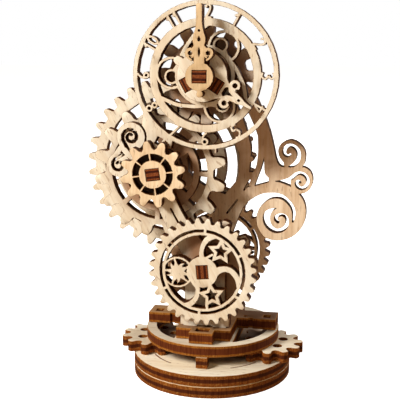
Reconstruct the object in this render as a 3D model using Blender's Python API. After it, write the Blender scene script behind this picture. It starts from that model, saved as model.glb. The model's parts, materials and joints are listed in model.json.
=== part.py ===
"""A small wooden mechanical clock, laser cut from plywood and stacked in layers.

Turning the drive gear at the bottom turns the centre axle, the hour hand and the minute hand.
Lengths below are millimetres and angles are degrees, counted counter-clockwise as seen from
the front. The finished model is in metres, stands on z = 0 and its dial faces -Y.
"""

import math

import bpy
from mathutils import Vector
from mathutils.geometry import delaunay_2d_cdt

MM = 0.001
OBJECT_NAME = "wooden_mechanical_clock"

# Sheet and clearances
PLY = 2.8
GLUE_GAP = 0.2
RUN_GAP = 0.5
FIT_GAP = 0.15
BORE_GAP = 0.3
SAG = 0.05
SNAP = 1e-5
SPECK = 0.06
SHORTEST_SIDE = 0.14
STRAIGHT = 0.012

# The three axles stand in a shallow V, one gear span apart
DRIVE_HEIGHT = 30.0
GEAR_SPAN = 27.3
GEAR_LEAN = 62.66
AXLE_WIDTH = 3.3
MINUTE_AXLE_TURN = 0.0
CENTRE_AXLE_TURN = 8.5
DRIVE_AXLE_TURN = 95.0
AXLE_END = 0.6

# Layers from front to back
DIAL_FRONT = -9.8
CHAMBER = 9.2
REAR_DRIVE_STANDOFF = 6.9

# Meshing gears
PRESSURE_ANGLE = 18.0
ROOT_ROUNDING = 0.22
TIP_ROUNDING = 0.42
TIP_CURVE = (1.0, 0.82, 0.4)
TOOTH_SLACK = 0.36
DRIVE_TEETH = 12
CENTRE_TEETH = 16
HOUR_TEETH = 12
REAR_TEETH = 32
MINUTE_TEETH = 8
CENTRE_WHEEL_PHASE = 54.4
REAR_WHEEL_PHASE = 7.0
CENTRE_SPOKE_TURN = 42.3
REAR_SPOKE_TURN = 20.0

# Hand-turned drive gears with a sun and two stars, and the front pinion
CROWN_TEETH = 32
CROWN_TIP = 13.75
CROWN_ROOT = 12.37
CROWN_PHASE = 4.8
CROWN_SLOT_OUTER = 10.95
CROWN_SLOT_INNER = 10.25
CROWN_RIM_INNER = 9.5
CROWN_HUB = 4.0
FRONT_PINION_TEETH = 12
FRONT_PINION_TIP = 8.44
FRONT_PINION_ROOT = 6.2
FRONT_PINION_PHASE = 10.8

# Dial and hands
DIAL_RADIUS = 18.1
DIAL_RIM = 1.1
NUMERAL_HEIGHT = 3.1
CHAPTER_RING = 1.9
HUB_HOLE = 6.5
HUB_BAND = 1.0
NUMERAL_STROKE = 0.55
NUMERAL_WIDTH = 1.8
UPENDED_HOURS = range(4, 10)
MINUTE_HAND_SHORT = 1.2
MINUTE_DISC = 3.4
HOUR_HAND_SHORT = 3.9
HOUR_HAND_TURN = -32.5
HOUR_DISC = 6.2
SLAT_INNER = 3.1
SLAT_DEPTH = 2.3
SLAT_WIDTH = 3.1

# Base
BASE_RADIUS = 20.84
COG_INSET = 2.8
COG_DEPTH_OFFSET = -0.8
COG_TEETH = 12
COG_TIP = 9.5
COG_ROOT = 7.4
COG_HOLE = 1.25
COG_HOLE_CIRCLE = 4.6
RING_INSET = 3.14
RING_BAND = 2.6
RING_SET_BACK = 1.2
BRIDGE_HALF = 7.6
PAD_HALF = 7.0
PAD_DEPTH = 12.2
PAD_ARM_INSET = 0.5
PAD_TOOTH_HALF = 3.0
PAD_TOOTH_DEPTH = 15.2
PAD_ARM_FRONT = -1.4
PAD_ARM_BACK = 5.2
POST_WIDTH = 2.9
POST_OFFSET = 0.5
FOOT_HALF = 6.4
FOOT_TAB = 3.6

# Colours of the bare sheet: linear red, green and blue
PALE_PLY = (0.80, 0.60, 0.36)
SHADED_PLY = (0.47, 0.27, 0.13)
PEG_BROWN = (0.25, 0.09, 0.04)
SHEET_ROUGHNESS = 0.62

# Places that follow from the sizes above
LAYER = PLY + RUN_GAP
STACK = PLY + GLUE_GAP
MINUTE_LAYER = DIAL_FRONT - 2 * LAYER
HAND_LAYER = DIAL_FRONT - LAYER
WHEEL_LAYER = DIAL_FRONT + LAYER
REAR_PLATE_LAYER = DIAL_FRONT + PLY + CHAMBER
REAR_WHEEL_LAYER = REAR_PLATE_LAYER + LAYER
REAR_DRIVE_LAYER = REAR_WHEEL_LAYER + REAR_DRIVE_STANDOFF
AXLE_HALF_DIAGONAL = math.hypot(AXLE_WIDTH, PLY) / 2
BORE = AXLE_HALF_DIAGONAL + BORE_GAP
COLLAR_RADIUS = BORE + 1.3
CHAPTER_OUTER = DIAL_RADIUS - DIAL_RIM - NUMERAL_HEIGHT
CHAPTER_INNER = CHAPTER_OUTER - CHAPTER_RING
HUB_OUTER = HUB_HOLE + HUB_BAND
MINUTE_HAND_LENGTH = DIAL_RADIUS - MINUTE_HAND_SHORT
HOUR_HAND_LENGTH = DIAL_RADIUS - HOUR_HAND_SHORT
RING_RADIUS = BASE_RADIUS - RING_INSET
COG_OFFSET = RING_RADIUS - COG_INSET
PAD_ARM = RING_RADIUS - PAD_ARM_INSET
COG_LAYER = 2 * STACK
RING_LAYER = 3 * STACK
PAD_LAYER = 4 * STACK
FOOT_BOTTOM = PAD_LAYER + STACK


def polar(radius, angle, centre=(0.0, 0.0)):
    turn = math.radians(angle)
    return (centre[0] + radius * math.cos(turn), centre[1] + radius * math.sin(turn))


DRIVE_AXIS = (0.0, DRIVE_HEIGHT)
CENTRE_AXIS = polar(GEAR_SPAN, 180 - GEAR_LEAN, DRIVE_AXIS)
HAND_AXIS = polar(GEAR_SPAN, GEAR_LEAN, CENTRE_AXIS)


class Flat:
    """A flat region: closed loops, and a rule that says which of their overlaps hold material."""

    def __init__(self, loops, keeps):
        self.loops = loops
        self.keeps = keeps

    def combined(self, other, rule):
        split = len(self.loops)

        def keeps(inside):
            return rule(self.keeps(inside[:split]), other.keeps(inside[split:]))

        return Flat(self.loops + other.loops, keeps)

    def __or__(self, other):
        return self.combined(other, lambda a, b: a or b)

    def __sub__(self, other):
        return self.combined(other, lambda a, b: a and not b)

    def __and__(self, other):
        return self.combined(other, lambda a, b: a and b)

    def placed(self, turn=0.0, centre=(0.0, 0.0), mirror=1.0):
        """The region mirrored in x if asked, turned about its origin, then moved to centre."""
        cos, sin = math.cos(math.radians(turn)), math.sin(math.radians(turn))

        def point(p):
            x, z = mirror * p[0], p[1]
            return (centre[0] + x * cos - z * sin, centre[1] + x * sin + z * cos)

        return Flat([[point(p) for p in loop] for loop in self.loops], self.keeps)

    def repeated(self, count):
        """The region copied evenly round its origin."""
        whole = self
        for index in range(1, count):
            whole = whole | self.placed(360 * index / count)
        return whole


def polygon(points):
    return Flat([list(points)], lambda inside: inside[0])


def steps_for(radius, angle=360.0):
    """How many chords keep within SAG of an arc."""
    step = 2 * math.acos(max(0.0, 1 - SAG / max(radius, SAG)))
    return max(3, math.ceil(math.radians(abs(angle)) / step))


def arc(radius, start, end, centre=(0.0, 0.0)):
    count = steps_for(radius, end - start)
    return [polar(radius, start + (end - start) * i / count, centre) for i in range(count + 1)]


def disc(radius, centre=(0.0, 0.0)):
    count = max(10, steps_for(radius))
    return polygon(polar(radius, 360 * i / count, centre) for i in range(count))


def ring(inner, outer, centre=(0.0, 0.0)):
    return disc(outer, centre) - disc(inner, centre)


def sector(inner, outer, start, end):
    return polygon(arc(inner, start, end) + arc(outer, end, start))


def box(width, height, centre=(0.0, 0.0), turn=0.0):
    x, z = width / 2, height / 2
    return polygon([(-x, -z), (x, -z), (x, z), (-x, z)]).placed(turn, centre)


def smooth(points, per_span=3):
    """Points on a Catmull-Rom curve through (x, z, width) points."""
    ends = [points[0], *points, points[-1]]
    found = []
    for a, b, c, d in zip(ends, ends[1:], ends[2:], ends[3:]):
        for step in range(per_span):
            t = step / per_span
            found.append(tuple(
                0.5 * (2 * q + (r - p) * t + (2 * p - 5 * q + 4 * r - s) * t * t
                       + (3 * q - p - 3 * r + s) * t ** 3)
                for p, q, r, s in zip(a, b, c, d)))
    return found + [points[-1]]


def outline(*runs):
    """A region whose edge is made of smooth runs, with a corner where two runs meet."""
    return polygon(point for run in runs for point in smooth(run, 2))


def rounded(points):
    """A region with one smooth edge through the points."""
    curve = smooth([points[-1], *points, points[0], points[1]], 2)
    return polygon(curve[2:-3])


def moved(points, centre):
    """Points of a shape drawn round its own origin, moved to centre; any width is kept."""
    return [(centre[0] + x, centre[1] + z, *width) for x, z, *width in points]


def band(points, per_span=3, round_ends=True):
    """A stroke through (x, z, width) points, with round or square ends."""
    line = smooth(points, per_span) if per_span > 1 else points
    left, right = [], []
    for index, (x, z, width) in enumerate(line):
        before, after = line[max(0, index - 1)], line[min(len(line) - 1, index + 1)]
        heading = math.degrees(math.atan2(after[1] - before[1], after[0] - before[0]))
        left.append(polar(width / 2, heading + 90, (x, z)))
        right.append(polar(width / 2, heading - 90, (x, z)))
        if index == 0:
            start_heading = heading
    cap_angles = (45, 0, -45) if round_ends else ()
    end_cap = [polar(width / 2, heading + a, (x, z)) for a in cap_angles]
    x, z, width = line[0]
    start_cap = [polar(width / 2, start_heading + 180 + a, (x, z)) for a in cap_angles]
    return polygon(left + end_cap + right[::-1] + start_cap)


def stroke(points, width, per_span=3, round_ends=True):
    return band([(x, z, width) for x, z in points], per_span, round_ends)


def curl(radius, rim, gap, start, sweep, core):
    """A disc turned into a scroll by a spiral cut that enters at the angle start.

    rim is the width of the outer band and core the radius where the cut ends.
    """
    lead_in = math.copysign(38, sweep)
    first = radius - rim - gap / 2
    count = max(6, math.ceil(abs(sweep) / 33))
    cut = [(*polar(radius + gap, start), gap)]
    for index in range(count + 1):
        t = index / count
        place = polar(first + (core - first) * t, start + lead_in + (sweep - lead_in) * t)
        cut.append((*place, gap * (1 - 0.2 * t)))
    return disc(radius) - band(cut, 1)


def star(outer, inner, turn):
    radii = [outer, inner] * 5
    return polygon(polar(radius, turn + 36 * i) for i, radius in enumerate(radii))


def involute(angle):
    return math.tan(angle) - angle


def pitch_radius(teeth, mate):
    return GEAR_SPAN * teeth / (teeth + mate)


def meshing_gear(teeth, mate, addendum, dedendum, phase, flank_shares=(0.45, 0.75)):
    """A gear outline with involute flanks and round tips; heights are in modules."""
    pitch = pitch_radius(teeth, mate)
    module = 2 * pitch / teeth
    pressure = math.radians(PRESSURE_ANGLE)
    base = pitch * math.cos(pressure)
    tip = pitch + addendum * module
    root = pitch - dedendum * module
    fillet = ROOT_ROUNDING * module
    half_at_pitch = (math.pi * module / 2 - TOOTH_SLACK / 2) / (2 * pitch)

    def half_angle(radius):
        at = math.acos(min(1.0, base / radius))
        return half_at_pitch + involute(pressure) - involute(at)

    shoulder = tip - TIP_ROUNDING * module
    flank_start = max(base, root + fillet)
    flank = [(root, half_angle(flank_start) + fillet / root)]
    flank.append((root + fillet, half_angle(flank_start)))
    for share in flank_shares:
        radius = flank_start + (shoulder - flank_start) * share
        flank.append((radius, half_angle(radius)))
    for share in TIP_CURVE:
        rise = math.sqrt(1 - share * share)
        flank.append((shoulder + rise * (tip - shoulder), share * half_angle(shoulder)))
    points = []
    for index in range(teeth):
        middle = phase + 360 * index / teeth
        points += [polar(r, middle - math.degrees(a)) for r, a in flank]
        points += [polar(r, middle + math.degrees(a)) for r, a in reversed(flank)]
    return polygon(points)


def phase_of_mate(phase, teeth, mate_teeth, direction):
    """The phase that puts a gap of the mate opposite the tooth nearest the line between axles."""
    to_tooth = (phase - direction + 180 / teeth) % (360 / teeth) - 180 / teeth
    return direction + 180 - to_tooth * teeth / mate_teeth + 180 / mate_teeth


def notched_wheel(teeth, tip, root, phase, profile):
    """A wheel whose teeth follow (share of the pitch, share of the height) points."""
    points = []
    for index in range(teeth):
        for along, height in profile:
            angle = phase + 360 * (index + along) / teeth
            points.append(polar(root + (tip - root) * height, angle))
    return polygon(points)


def axle_hole(turn):
    return box(AXLE_WIDTH + 2 * FIT_GAP, PLY + 2 * FIT_GAP, turn=turn)


def spoked_window(inner, outer, spokes, first, width):
    """An annular window in even parts, with spokes of one width left between them."""
    half = math.degrees(width / 2 / ((inner + outer) / 2))
    pitch = 360 / spokes
    return sector(inner, outer, first + half, first + pitch - half).repeated(spokes)


def shade(name, colour):
    material = bpy.data.materials.new(name)
    material.use_nodes = True
    surface = material.node_tree.nodes["Principled BSDF"]
    surface.inputs["Base Color"].default_value = (*colour, 1.0)
    surface.inputs["Roughness"].default_value = SHEET_ROUGHNESS
    surface.inputs["Metallic"].default_value = 0.0
    return material


def boundary_loops(flat):
    """The outlines of a region's material, without islands or holes smaller than SPECK."""
    points, faces = [], []
    for loop in flat.loops:
        faces.append(list(range(len(points), len(points) + len(loop))))
        points += [Vector(p) for p in (loop if loop_area(loop) > 0 else reversed(loop))]
    corners, _, cells, _, _, owners = delaunay_2d_cdt(points, [], faces, 1, SNAP, True)
    sides = set()
    for cell, owner in zip(cells, owners):
        if flat.keeps([index in owner for index in range(len(faces))]):
            sides.update(zip(cell, cell[1:] + cell[:1]))
    following = {}
    for a, b in sides:
        if (b, a) not in sides:
            following.setdefault(a, []).append(b)
    loops = []
    while following:
        start = min(following)
        loop, here = [], start
        while True:
            onward = following[here]
            loop.append(here)
            next_corner = onward.pop()
            if not onward:
                del following[here]
            here = next_corner
            if here == start:
                break
        loop = without_short_sides([corners[index] for index in loop])
        loops.append(without_straight_points(loop))
    return [loop for loop in loops if abs(loop_area(loop)) > SPECK]


def loop_area(loop):
    return sum(a[0] * b[1] - b[0] * a[1] for a, b in zip(loop, loop[1:] + loop[:1])) / 2


def without_short_sides(loop):
    """The loop without the points that lie closer than SHORTEST_SIDE to the one before."""
    kept = [loop[0]]
    for point in loop[1:]:
        if (point - kept[-1]).length > SHORTEST_SIDE:
            kept.append(point)
    return kept


def without_straight_points(loop):
    """The loop without the points that lie on a straight side."""
    kept = []
    for index, point in enumerate(loop):
        before, after = loop[index - 1], loop[(index + 1) % len(loop)]
        along = after - before
        off = abs(along.cross(point - before)) / max(along.length, SNAP)
        if off > STRAIGHT or along.length < 0.01:
            kept.append(point)
    return kept


def sheet(name, flat, at, material, thickness=PLY, upright=True, parent=None):
    """A flat piece cut from sheet. at is its origin: (x, front y, z), or the under side if flat."""
    curve = bpy.data.curves.new(name, "CURVE")
    curve.dimensions = "2D"
    curve.fill_mode = "BOTH"
    curve.extrude = thickness / 2 * MM
    for loop in boundary_loops(flat):
        spline = curve.splines.new("POLY")
        spline.points.add(len(loop) - 1)
        for point, (x, z) in zip(spline.points, loop):
            point.co = (x * MM, z * MM, 0.0, 1.0)
        spline.use_cyclic_u = True
    curve.materials.append(material)
    piece = bpy.data.objects.new(name, curve)
    x, y, z = at
    if upright:
        piece.rotation_euler = (math.pi / 2, 0.0, 0.0)
        y += thickness / 2
    else:
        z += thickness / 2
    return place(piece, (x, y, z), parent)


def place(piece, at, parent):
    piece.location = [value * MM for value in at]
    if parent:
        piece.parent = parent
        piece.matrix_parent_inverse = parent.matrix_world.inverted()
    collection.objects.link(piece)
    return piece


def axis_empty(name, axis):
    empty = bpy.data.objects.new(name, None)
    empty.empty_display_size = 5 * MM
    empty.location = (axis[0] * MM, 0.0, axis[1] * MM)
    collection.objects.link(empty)
    bpy.context.view_layer.update()
    return empty


def bar(name, size, at, turn, material, parent):
    """A straight strip of sheet: size is (across, along y, up) before it is turned about y."""
    bpy.ops.mesh.primitive_cube_add(size=1.0)
    piece = bpy.context.object
    piece.name = piece.data.name = name
    for vertex in piece.data.vertices:
        vertex.co = [share * length * MM for share, length in zip(vertex.co, size)]
    piece.rotation_euler = (0.0, -math.radians(turn), 0.0)
    piece.data.materials.append(material)
    for holder in piece.users_collection:
        holder.objects.unlink(piece)
    return place(piece, at, parent)


def axle(name, axis, front, back, turn, material, parent):
    size = (AXLE_WIDTH, back - front, PLY)
    return bar(name, size, (axis[0], (front + back) / 2, axis[1]), turn, material, parent)


def digit_strokes(digit):
    """The strokes of one plain digit in a box one wide and one high, as (points, round)."""
    strokes = {
        "0": [([(0.5, 1.0), (0.08, 0.72), (0.08, 0.28), (0.5, 0.0)], True),
              ([(0.5, 0.0), (0.92, 0.28), (0.92, 0.72), (0.5, 1.0)], True)],
        "1": [([(0.55, -0.06), (0.55, 1.06)], False), ([(0.55, 0.98), (0.12, 0.68)], False)],
        "2": [([(0.06, 0.74), (0.42, 1.0), (0.88, 0.8), (0.62, 0.42), (0.08, 0.0)], True),
              ([(0.0, 0.0), (1.0, 0.0)], False)],
        "3": [([(0.06, 0.9), (0.5, 1.0), (0.88, 0.78), (0.42, 0.54)], True),
              ([(0.42, 0.54), (0.92, 0.3), (0.55, 0.0), (0.04, 0.1)], True)],
        "4": [([(0.7, -0.06), (0.7, 1.06)], False), ([(0.7, 1.0), (0.02, 0.34)], False),
              ([(0.0, 0.32), (1.0, 0.32)], False)],
        "5": [([(0.9, 1.0), (0.14, 1.0)], False), ([(0.2, 1.0), (0.12, 0.56)], False),
              ([(0.12, 0.56), (0.6, 0.62), (0.94, 0.32), (0.55, 0.0), (0.04, 0.06)], True)],
        "6": [([(0.8, 1.0), (0.3, 0.74), (0.1, 0.34)], True)],
        "7": [([(0.04, 1.0), (0.96, 1.0)], False), ([(0.92, 1.0), (0.35, -0.06)], False)],
        "9": [([(0.9, 0.66), (0.7, 0.26), (0.2, 0.0)], True)],
    }
    return strokes.get(digit, [])


def digit_shape(digit, width):
    """One digit standing on the chapter ring at the top of the dial, centred on x = 0."""

    def point(p):
        return ((p[0] - 0.5) * width, CHAPTER_OUTER + p[1] * NUMERAL_HEIGHT)

    shape = None
    for points, is_round in digit_strokes(digit):
        spans = 2 if is_round else 1
        part = stroke([point(p) for p in points], NUMERAL_STROKE, spans, round_ends=False)
        shape = part if shape is None else shape | part
    eyes = {"6": [0.27], "8": [0.25, 0.76], "9": [0.73]}
    for height in eyes.get(digit, []):
        outer = (0.31 if height < 0.5 else 0.28) * NUMERAL_HEIGHT
        eye = ring(outer - NUMERAL_STROKE, outer, point((0.5, height)))
        shape = eye if shape is None else shape | eye
    return shape


def numerals():
    whole = None
    for hour in range(1, 13):
        text = str(hour)
        for index, digit in enumerate(text):
            width = NUMERAL_WIDTH if len(text) == 1 else 0.8 * NUMERAL_WIDTH
            middle = (index - (len(text) - 1) / 2) * 1.25 * width
            shape = digit_shape(digit, width)
            if hour in UPENDED_HOURS:
                shape = shape.placed(180, (0.0, 2 * CHAPTER_OUTER + NUMERAL_HEIGHT))
            shape = shape.placed(0, (middle, 0.0)).placed(-30 * hour)
            whole = shape if whole is None else whole | shape
    return whole


def dial_scroll():
    """One of the dial's three scrolls: a large ring, a small one inside it, and a tail arm."""
    reach = (HUB_OUTER + CHAPTER_INNER) / 2 - 1.4
    large = (CHAPTER_INNER - reach) + 0.35
    centre = polar(reach, 56)
    small = (centre[0] - 0.8, centre[1] + 0.4)
    shape = ring(large - 0.65, large, centre) | ring(1.35, 1.9, small)
    root = polar(large - 0.3, -58, centre)
    link = [polar(1.7, -45, small), between(polar(1.7, -45, small), root, 0.45, -0.3), root]
    tail = [(HUB_HOLE + 0.6, 51), (HUB_HOLE + 1.1, 19), (HUB_HOLE + 2.3, -3),
            (HUB_HOLE + 3.6, -16), (CHAPTER_INNER + 0.4, -34)]
    return shape | stroke(link, 0.6) | stroke([polar(r, a) for r, a in tail], 0.95)


def dial_shape():
    rim = ring(DIAL_RADIUS - DIAL_RIM, DIAL_RADIUS)
    chapter = ring(CHAPTER_INNER, CHAPTER_OUTER)
    hub = ring(HUB_HOLE, HUB_OUTER)
    scrolls = dial_scroll().repeated(3) - disc(HUB_HOLE)
    return rim | chapter | hub | scrolls | numerals()


def between(a, b, share, side=0.0):
    """A point a share of the way from a to b, moved sideways to its left."""
    length = math.dist(a, b)
    x, z = (b[0] - a[0]) / length, (b[1] - a[1]) / length
    return (a[0] + x * share * length - z * side, a[1] + z * share * length + x * side)


def off(axis, x, z):
    return (axis[0] + x, axis[1] + z)


def foot_shape(axis, waist):
    """The foot of a plate, from an axle down to the pad, with two tabs for the pad's slots."""
    top = axis[1]
    sides = [(-waist, top), (-waist, FOOT_BOTTOM + 7), (-FOOT_HALF, FOOT_BOTTOM + 2.5),
             (-FOOT_HALF, FOOT_BOTTOM)]
    tab = [(-FOOT_HALF + 0.8, FOOT_BOTTOM), (-FOOT_HALF + 0.8, FOOT_BOTTOM - STACK),
           (-FOOT_HALF + 0.8 + FOOT_TAB, FOOT_BOTTOM - STACK),
           (-FOOT_HALF + 0.8 + FOOT_TAB, FOOT_BOTTOM)]
    left = sides + tab
    return polygon(left + [(-x, z) for x, z in reversed(left)])


def front_plate_shape():
    dial = dial_shape().placed(0, HAND_AXIS)
    neck_foot = polar(4.5, GEAR_LEAN + 12, CENTRE_AXIS)
    rim_middle = DIAL_RADIUS - DIAL_RIM / 2
    left_root = polar(rim_middle, 208, HAND_AXIS)
    right_root = polar(rim_middle, 243, HAND_AXIS)
    junction = polygon([
        off(CENTRE_AXIS, -3.8, 2.0), off(CENTRE_AXIS, -2.4, 8.0), off(CENTRE_AXIS, -3.4, 10.2),
        off(CENTRE_AXIS, -3.5, 12.6), left_root, polar(rim_middle, 225, HAND_AXIS), right_root,
        off(CENTRE_AXIS, 4.3, 7.8), off(CENTRE_AXIS, 3.95, 6.0), off(CENTRE_AXIS, 3.2, 7.6),
        off(CENTRE_AXIS, 2.5, 8.2), off(CENTRE_AXIS, 2.2, 6.6), off(CENTRE_AXIS, 4.6, 1.0),
        neck_foot])
    slot = box(1.5, 2.0, off(CENTRE_AXIS, 0.8, 8.0), -28)
    upper_middle = off(CENTRE_AXIS, -6.4, 8.9)
    upper_curl = curl(3.7, 0.95, 0.95, -92, -560, 0.6).placed(0, upper_middle)
    part_line = sector(3.7, 4.15, -28, 62).placed(0, upper_middle)
    lower_curl = curl(3.1, 0.85, 0.8, 58, 440, 0.6).placed(0, off(CENTRE_AXIS, -9.7, 1.7))
    link = stroke([off(CENTRE_AXIS, -8.9, 6.3), off(CENTRE_AXIS, -10.4, 4.3)], 1.3, 1)
    hook = stroke([off(CENTRE_AXIS, -8.2, 5.6), off(CENTRE_AXIS, -6.6, 4.0),
                   off(CENTRE_AXIS, -4.0, 2.6)], 1.5)
    nub = box(0.4, 1.2, off(HAND_AXIS, 2.7, -DIAL_RADIUS - 0.2))
    arm = band([(*CENTRE_AXIS, 6.0), (*between(CENTRE_AXIS, DRIVE_AXIS, 0.25, -1.0), 5.2),
                (*between(CENTRE_AXIS, DRIVE_AXIS, 0.5, -1.2), 5.4),
                (*between(CENTRE_AXIS, DRIVE_AXIS, 0.8, -0.4), 6.4), (*DRIVE_AXIS, 7.0)])
    slit = stroke([between(CENTRE_AXIS, DRIVE_AXIS, 0.36, -0.8),
                   between(CENTRE_AXIS, DRIVE_AXIS, 0.5, -0.7)], 0.4, 1)
    hub = disc(BORE + 3.2, CENTRE_AXIS) | disc(BORE + 3.0, DRIVE_AXIS)
    junction = (junction - slot - part_line) | upper_curl | lower_curl | link | hook | nub
    body = dial | junction | (arm - slit) | hub | foot_shape(DRIVE_AXIS, 5.2)
    return body - disc(BORE, CENTRE_AXIS) - disc(BORE, DRIVE_AXIS)


def rear_scroll_holes():
    """The cuts of the rear plate's scrolls, drawn from the drive axle."""
    top = [(19.7, 25.0, 0.35), (20.8, 25.4, 0.9), (21.8, 26.5, 1.05), (22.2, 28.0, 1.05),
           (21.8, 29.4, 1.05), (20.6, 30.4, 0.9), (19.3, 30.4, 0.9), (18.5, 29.5, 1.0),
           (18.5, 28.3, 0.9), (19.3, 27.8, 0.7), (20.0, 28.2, 0.5)]
    side = [(18.9, 21.4, 0.5), (20.3, 22.0, 0.9), (21.4, 23.0, 0.9), (22.5, 23.4, 0.85),
            (23.7, 23.0, 0.9), (24.5, 22.0, 0.85), (24.6, 20.9, 0.85), (24.0, 19.9, 0.9),
            (23.0, 19.4, 0.9), (22.0, 19.9, 0.9), (21.7, 20.8, 0.8), (22.2, 21.4, 0.6),
            (22.7, 21.0, 0.5)]
    large = [(16.5, 13.9, 0.2), (15.4, 13.5, 0.7), (14.4, 12.6, 1.6), (14.0, 11.3, 1.9),
             (14.3, 9.8, 1.75), (15.2, 8.6, 1.45), (16.6, 7.9, 1.2), (18.0, 8.2, 1.1),
             (19.1, 9.1, 0.95), (19.5, 10.3, 0.8), (19.3, 11.5, 0.8), (18.5, 12.2, 0.75),
             (17.4, 12.2, 0.75), (16.6, 11.7, 0.85), (16.5, 10.9, 0.85), (17.1, 10.3, 0.7)]
    seam = [(6.2, 15.7, 0.35), (3.5, 12.1, 0.35)]
    sliver = [(9.6, 21.2, 0.3), (8.9, 19.9, 0.6), (8.0, 18.4, 0.3)]
    holes = band(moved(seam, DRIVE_AXIS), 1) | band(moved(sliver, DRIVE_AXIS), 2)
    for points in (top, side, large):
        holes = holes | band(moved(points, DRIVE_AXIS), 2)
    return holes


def rear_swirl_shape():
    """The large scroll and its sweep, as one band that turns in on itself."""
    rim = [(2.0, 11.0), (4.5, 17.0), (8.6, 19.2), (10.7, 19.6), (14.3, 20.7), (16.3, 21.0),
           (17.8, 20.7), (19.3, 20.2), (20.4, 19.7), (21.6, 18.8), (22.6, 17.7), (23.5, 16.4),
           (24.1, 14.9), (24.3, 13.2), (24.2, 11.7), (23.8, 10.2), (23.0, 8.7), (21.6, 7.1),
           (19.6, 5.9), (16.8, 5.3), (13.9, 5.9), (12.6, 7.2), (11.7, 8.8), (11.4, 10.4),
           (11.5, 12.2), (12.1, 13.8), (12.9, 14.8), (14.0, 15.8), (15.2, 16.4), (16.7, 16.6),
           (18.1, 16.3), (19.4, 15.3), (20.4, 13.9), (20.8, 12.3), (20.7, 10.4)]
    inside = [(21.1, 10.4), (21.6, 12.3), (21.5, 13.7), (20.9, 15.1), (19.8, 16.4),
              (18.4, 17.5), (16.7, 18.0), (15.0, 18.0), (13.3, 17.8), (11.6, 17.1),
              (9.9, 16.0), (8.6, 14.8), (7.4, 12.9), (5.8, 9.0), (4.0, 4.0)]
    return outline(moved(rim, DRIVE_AXIS), moved(inside, DRIVE_AXIS))


def rear_arm_shape():
    """The outer arm of the rear plate, with its branch and the two small scrolls."""
    shoulder = [(2.5, 47.5, 4.4), (8.4, 43.2, 3.8), (11.9, 36.6, 3.5), (13.1, 33.0, 3.2)]
    right_edge = [(13.6, 36.8), (14.7, 33.9), (15.8, 29.5), (16.3, 27.1), (17.1, 25.4),
                  (18.4, 24.8), (20.5, 25.0), (22.8, 25.0)]
    low_edge = [(22.6, 24.2), (20.6, 22.7), (19.5, 22.0), (17.7, 21.4), (16.2, 21.2)]
    fork_right = [(14.4, 20.8), (14.5, 21.9), (13.7, 22.6), (13.3, 23.9), (13.2, 27.1)]
    fork_left = [(12.9, 26.0), (12.3, 23.8), (11.6, 22.0), (10.7, 19.4)]
    left_edge = [(10.4, 23.3), (11.2, 25.0), (11.6, 28.2), (11.6, 30.3), (11.3, 34.5),
                 (10.2, 36.5)]
    runs = (right_edge, low_edge, [(16.0, 20.0), (14.4, 20.0)], fork_right, fork_left,
            [(8.6, 19.6), (8.6, 23.3)], left_edge)
    top_scroll = [(18.3, 26.0), (17.4, 27.1), (16.8, 28.9), (17.5, 30.8), (20.0, 32.0),
                  (22.4, 30.9), (23.7, 29.2), (23.9, 27.1), (23.2, 25.0), (20.8, 24.4),
                  (18.6, 24.6)]
    side_scroll = [(22.6, 25.0), (24.6, 24.5), (25.6, 23.2), (25.9, 21.6), (25.6, 20.1),
                   (24.7, 18.8), (23.0, 18.0), (21.0, 18.2), (20.3, 19.6), (20.2, 21.2),
                   (20.6, 23.2)]
    shape = outline(*[moved(run, DRIVE_AXIS) for run in runs])
    shape = shape | band(moved(shoulder, DRIVE_AXIS))
    return shape | rounded(moved(top_scroll, DRIVE_AXIS)) | rounded(
        moved(side_scroll, DRIVE_AXIS))


def rear_plate_shape():
    hands, centre, drive = HAND_AXIS, CENTRE_AXIS, DRIVE_AXIS
    column = band([(*off(hands, 1.0, -3.0), 4.0), (*off(hands, 5.6, -11.0), 3.4),
                   (*off(drive, 7.6, 30.7), 3.9), (*off(drive, 8.2, 28.2), 3.1),
                   (*off(drive, 8.1, 25.0), 2.8), (*off(drive, 7.9, 22.6), 2.8),
                   (*off(drive, 7.3, 20.3), 2.9), (*off(drive, 4.6, 15.5), 4.6),
                   (*off(drive, 1.5, 8.0), 6.0), (*drive, 7.0)])
    knob = disc(0.75, off(drive, 9.8, 26.7))
    to_centre = band([(*centre, 7.0), (*between(centre, drive, 0.3, 3.0), 5.4),
                      (*off(drive, -0.5, 15.6), 5.4), (*off(drive, 4.0, 14.5), 4.6)])
    to_hands = band([(*centre, 7.0), (*between(centre, hands, 0.5, -1.6), 4.6), (*hands, 7.0)])
    hubs = disc(BORE + 3.0, hands) | disc(BORE + 3.2, centre) | disc(BORE + 3.4, drive)
    body = column | knob | rear_arm_shape() | rear_swirl_shape() | to_centre | to_hands
    body = (body | hubs | foot_shape(drive, 5.6)) - rear_scroll_holes()
    return body - disc(BORE, hands) - disc(BORE, centre) - disc(BORE, drive)


def sun_shape():
    """A disc with curved flames, held by every second one in a thin ring."""
    long_flame = polygon([(-0.75, 1.2), (0.75, 1.2), (0.4, 2.3), (0.15, 3.8), (-0.25, 3.8),
                          (-0.2, 2.5)])
    short_flame = polygon([(-0.7, 1.2), (0.7, 1.2), (0.45, 2.2), (0.75, 2.95), (-0.1, 2.4)])
    flames = long_flame.repeated(5) | short_flame.placed(36).repeated(5)
    return ring(3.5, 4.0) | disc(1.7) | flames


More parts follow.
